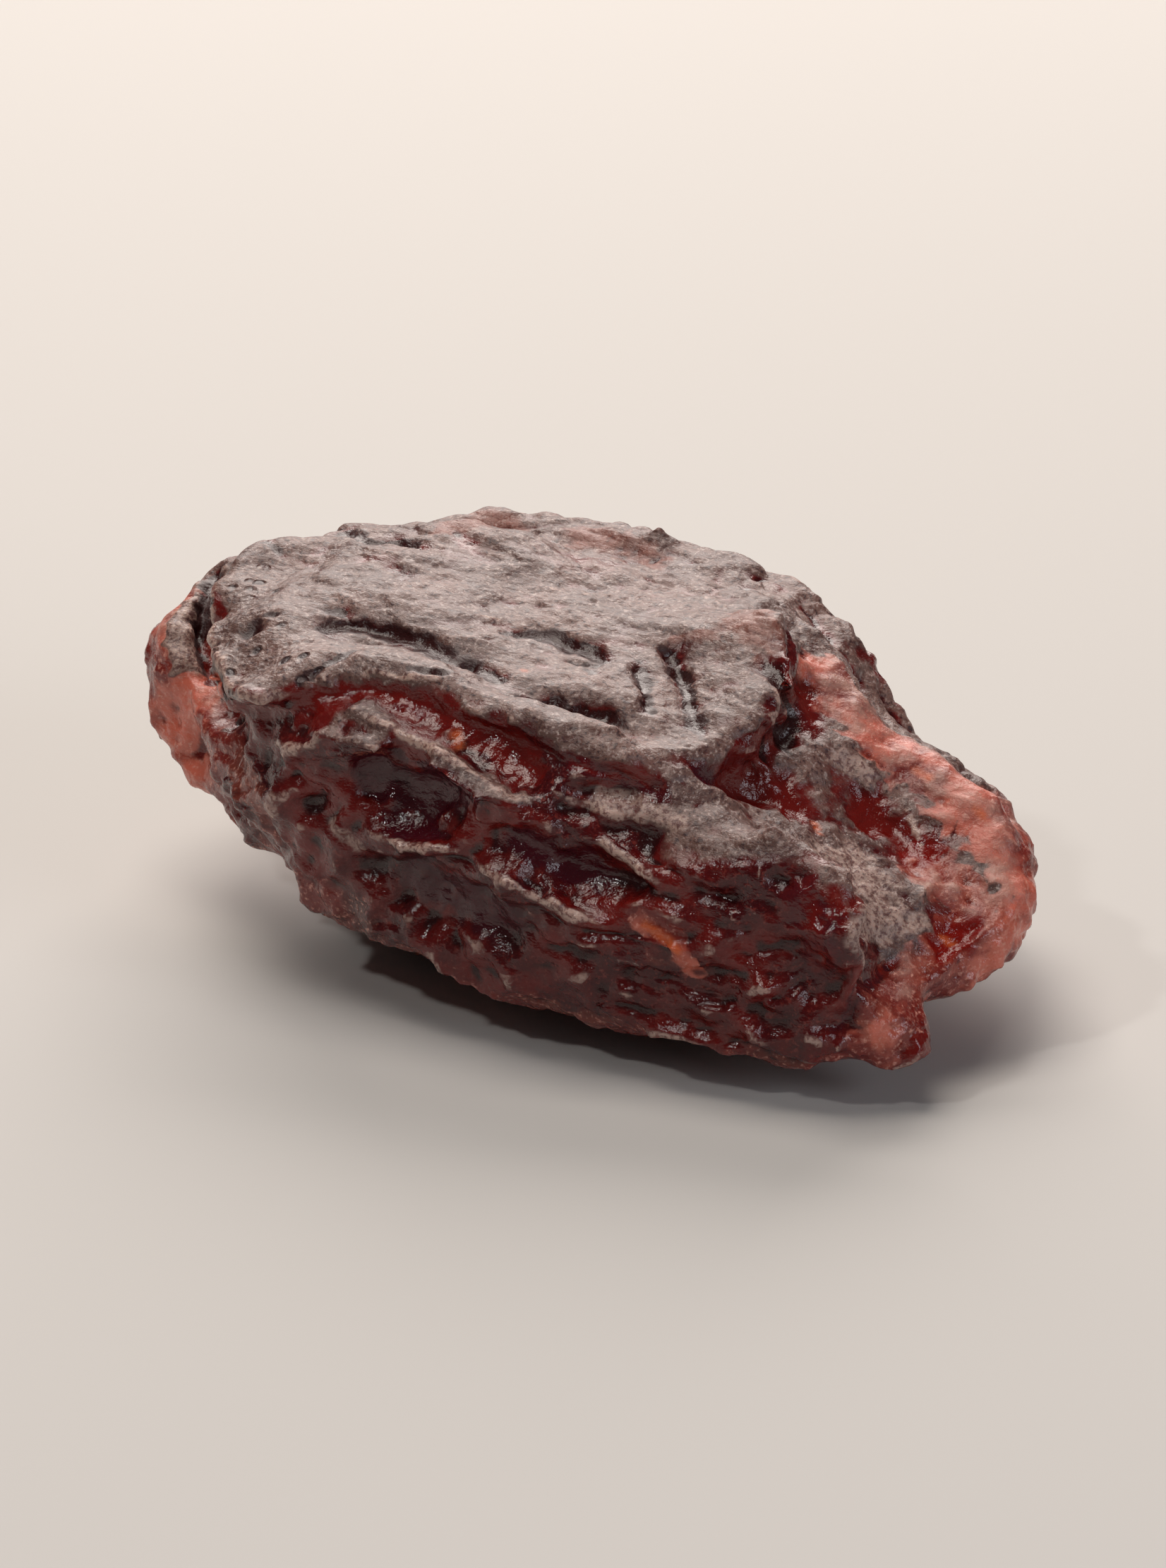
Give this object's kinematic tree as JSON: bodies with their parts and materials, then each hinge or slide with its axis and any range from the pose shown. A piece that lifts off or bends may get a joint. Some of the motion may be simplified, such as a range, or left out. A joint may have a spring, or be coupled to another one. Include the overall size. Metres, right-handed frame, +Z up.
{
  "type": "dried cranberry",
  "caption": "Single dried, sweetened cranberry lying on its cut side: deeply wrinkled dark red skin with a blunt nose, folded flank and a flared rim of lighter flesh.",
  "frame": {"origin": "bottom centre of the berry's bounding box, on the plane that it rests on", "axes": "+X along the length, towards the flared rim of the cut flesh, with the blunt nose at -X; -Y is the front flank; +Z is up"},
  "size_m": [0.0178, 0.0106, 0.0069],
  "materials": {
    "skin": "satin"
  },
  "bodies": {
    "root": {"berry": "skin"}
  },
  "joints": []
}
